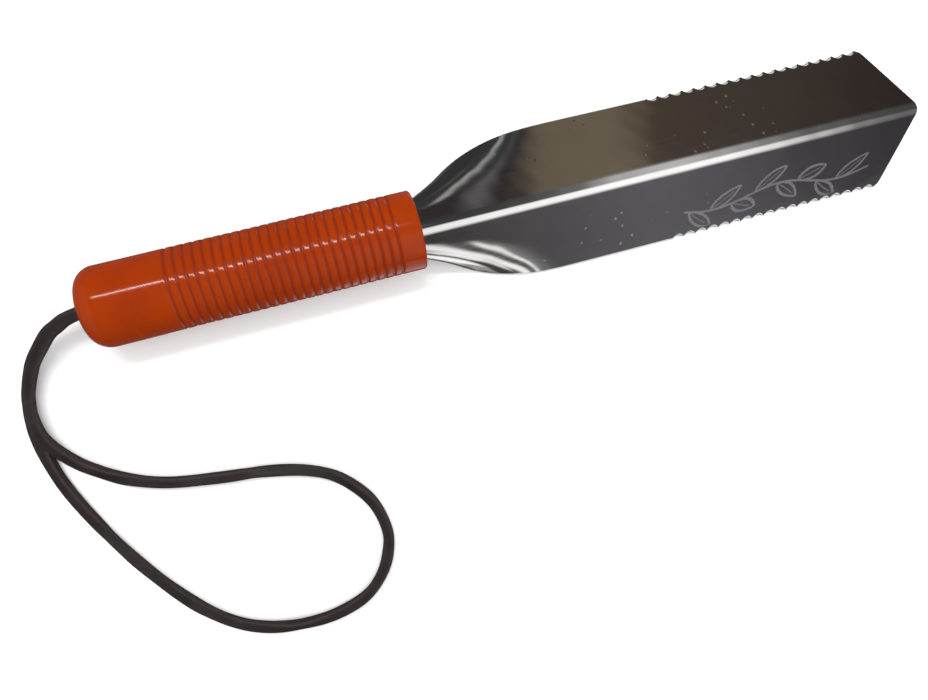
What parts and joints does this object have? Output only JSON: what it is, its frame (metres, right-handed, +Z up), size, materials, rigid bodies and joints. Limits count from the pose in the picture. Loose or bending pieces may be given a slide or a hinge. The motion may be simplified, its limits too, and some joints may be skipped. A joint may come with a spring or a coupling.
{
  "type": "hori hori digging knife",
  "caption": "Digging knife with a V-section steel blade, serrated on both edges, a grooved round grip and a leather wrist loop.",
  "frame": {"origin": "under the middle of the blade and grip together, on the surface that the tool lies on", "axes": "+X along the tool from the butt to the tip, +Y across it, +Z up through the ridge of the blade"},
  "size_m": [0.391, 0.1879, 0.032],
  "materials": {
    "steel": "mirror-polished stainless steel with fine wipe marks, ground scallops and an etched line ornament",
    "grip_vinyl": "glossy orange vinyl, softly grooved, slightly uneven",
    "leather": "dark brown leather lace, nearly black, with a fine grain and worn edges"
  },
  "bodies": {
    "root": {"blade": "steel", "grip": "grip_vinyl", "lanyard": "leather", "lanyard_knot": "leather"}
  },
  "joints": []
}
